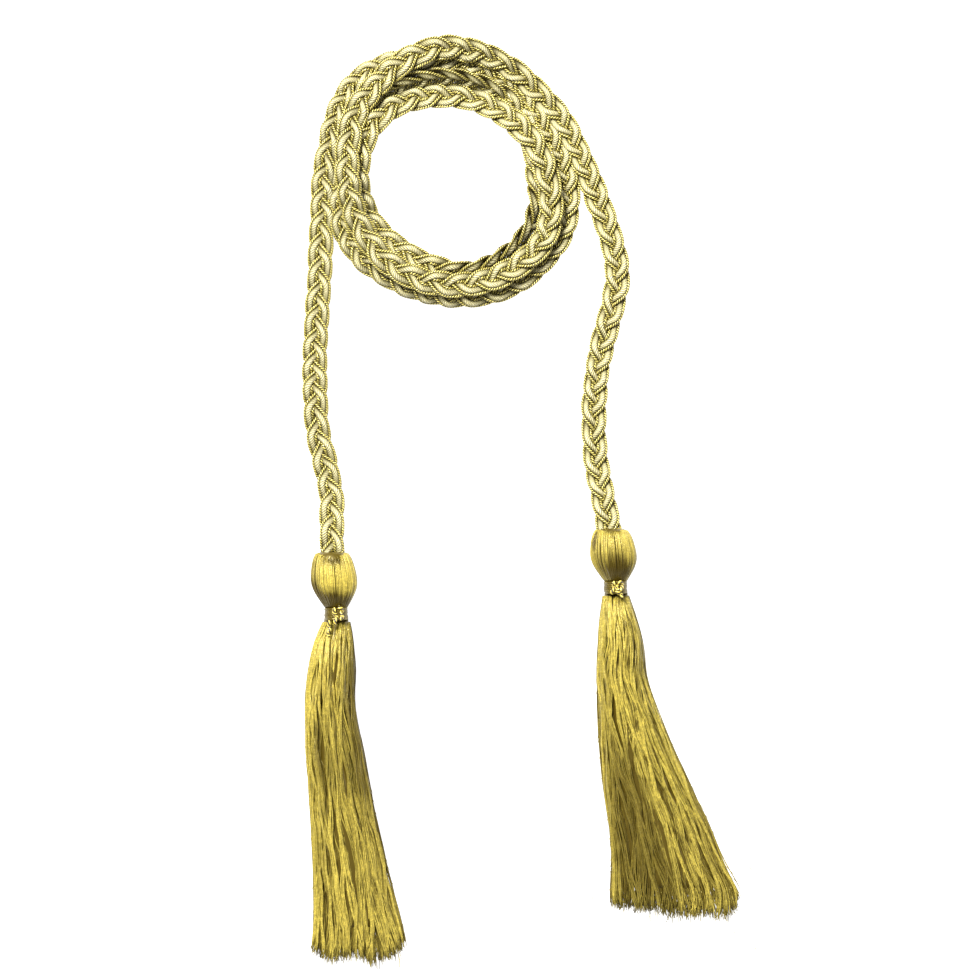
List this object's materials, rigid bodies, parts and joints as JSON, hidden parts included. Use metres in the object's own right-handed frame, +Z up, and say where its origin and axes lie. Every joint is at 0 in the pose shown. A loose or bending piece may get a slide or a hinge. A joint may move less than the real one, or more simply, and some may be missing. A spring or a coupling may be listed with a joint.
{
  "type": "braided waist cord with two tassels, laid coiled",
  "caption": "Flat three-strand braided waist cord in cream silk and gold gimp, laid in a loose coil, with a bound tassel on each end.",
  "frame": {"origin": "middle of the box round the two tassels, on the surface that the cord lies on", "axes": "+Z up from the surface; +Y from the tassels towards the coil; +X from the left tassel to the right one"},
  "size_m": [0.1868, 0.3977, 0.0162],
  "materials": {
    "braid_silk": "silky twisted cord",
    "gold_gimp": "metallic wrapped cord",
    "tassel_thread": "shiny rayon thread"
  },
  "bodies": {
    "root": {"braid_left_leg": "braid_silk", "braid_coil": "braid_silk", "braid_right_leg": "braid_silk", "tassel_left": "tassel_thread", "neck_binding_left": "gold_gimp", "tassel_right": "tassel_thread", "neck_binding_right": "gold_gimp"}
  },
  "joints": []
}
